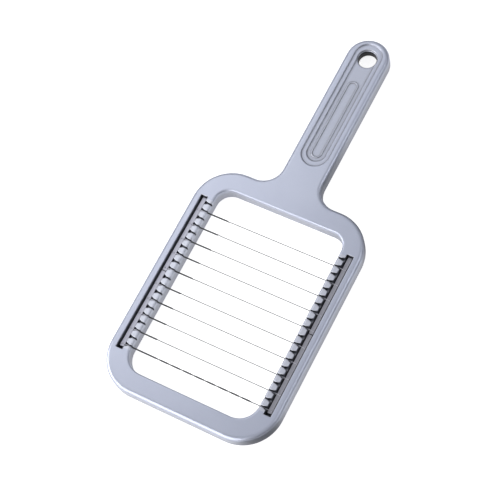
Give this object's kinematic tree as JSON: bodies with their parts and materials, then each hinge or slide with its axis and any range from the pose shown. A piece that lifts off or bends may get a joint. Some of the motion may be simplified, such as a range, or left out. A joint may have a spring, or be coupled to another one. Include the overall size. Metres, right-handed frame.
{
  "type": "wire butter slicer",
  "caption": "Flat cast aluminium frame with a handle and hanging hole; steel cutting wires cross its opening and loop round bars in both side rails.",
  "frame": {"origin": "middle of the outer box in X and Y, on the underside", "axes": "+X across, to the right seen from the pocket side with the handle up; +Y toward the handle end; +Z out of the pocket side"},
  "size_m": [0.1088, 0.257, 0.01],
  "materials": {
    "cast_aluminium": "satin, fine tumbled cast surface",
    "bar_steel": "drawn, dull",
    "wire_steel": "drawn, bright"
  },
  "bodies": {
    "root": {"frame": "cast_aluminium", "bar_left_upper": "bar_steel", "bar_left_lower": "bar_steel", "bar_right_upper": "bar_steel", "bar_right_lower": "bar_steel", "wire_01": "wire_steel", "wire_02": "wire_steel", "wire_03": "wire_steel", "wire_04": "wire_steel", "wire_05": "wire_steel", "wire_06": "wire_steel", "wire_07": "wire_steel", "wire_08": "wire_steel", "wire_09": "wire_steel", "wire_10": "wire_steel"}
  },
  "joints": []
}
